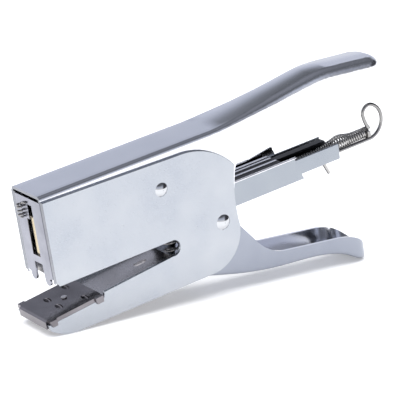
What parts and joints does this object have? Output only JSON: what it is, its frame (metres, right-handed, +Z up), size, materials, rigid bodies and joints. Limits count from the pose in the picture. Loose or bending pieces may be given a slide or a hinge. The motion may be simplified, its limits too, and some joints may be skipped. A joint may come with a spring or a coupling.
{
  "type": "plier stapler",
  "caption": "All-metal hand plier stapler with squeeze handles, deep throat, anvil and pull-out staple feeder.",
  "frame": {"origin": "centre of the bounding box's base, on the floor the tool stands on", "axes": "+X from the head to the handles along the floor, +Y across the width to the tool's right-hand side as seen from behind the handles, +Z up"},
  "size_m": [0.161, 0.0244, 0.0817],
  "materials": {
    "bright_plate": "bright nickel plating, polished",
    "dark_steel": "hardened, dark and satin",
    "rivet_steel": "plated, polished domes",
    "spring_steel": "drawn wire and strip, bright",
    "black_steel": "blackened, semi-gloss",
    "staple_wire": "galvanised wire"
  },
  "bodies": {
    "frame": {"left_side_plate": "bright_plate", "right_side_plate": "bright_plate", "upper_handle": "bright_plate", "front_guide_plate": "bright_plate", "jaw_channel": "bright_plate", "anvil": "dark_steel", "anvil_rivet": "bright_plate", "front_leaf": "spring_steel", "front_rivet": "rivet_steel", "rear_rivet": "rivet_steel", "front_spacer": "spring_steel", "pivot_washers": "spring_steel", "spring_seat": "spring_steel", "return_spring": "spring_steel"},
    "lower_handle": {"lower_handle": "bright_plate", "drive_yoke": "dark_steel", "yoke_rivets": "rivet_steel"},
    "magazine": {"magazine_channel": "bright_plate", "nose_plate": "spring_steel", "staple_rail": "black_steel", "rail_block": "black_steel", "staple_strip": "staple_wire"},
    "driver": {"driver_blade": "spring_steel"},
    "feeder": {"feeder_tray": "bright_plate", "latch_pin": "spring_steel", "pull_ring": "spring_steel", "guide_rod": "spring_steel", "end_collar": "spring_steel", "feeder_spring": "spring_steel"},
    "pusher": {"pusher": "black_steel"}
  },
  "joints": [
    {"name": "squeeze", "type": "hinge", "parent": "frame", "child": "lower_handle", "pos_m": [-0.00204, 0, 0.02984], "axis": [0, -1, 0], "range_deg": [0, 18], "stiffness_Nm_per_rad": 1, "springref_deg": -17.19},
    {"name": "magazine_swing", "type": "hinge", "parent": "frame", "child": "magazine", "pos_m": [-0.00204, 0, 0.02984], "axis": [0, -1, 0], "range_deg": [0, 8.45], "deforming": ["return_spring"]},
    {"name": "blade_stroke", "type": "slide", "parent": "magazine", "child": "driver", "axis": [0.1652, 0, -0.9863], "range_m": [0, 0.01065]},
    {"name": "feeder_pull", "type": "slide", "parent": "magazine", "child": "feeder", "axis": [0.9863, 0, 0.1652], "range_m": [0, 0.055]},
    {"name": "pusher_travel", "type": "slide", "parent": "feeder", "child": "pusher", "axis": [0.9863, 0, 0.1652], "range_m": [0, 0.03], "stiffness_N_per_m": 40, "springref_m": -0.04, "deforming": ["feeder_spring"]}
  ],
  "couplings": [
    {"joint": "magazine_swing", "follows": "squeeze", "ratio": 0.46667},
    {"joint": "blade_stroke", "follows": "squeeze", "m_per_rad": 0.033741}
  ]
}
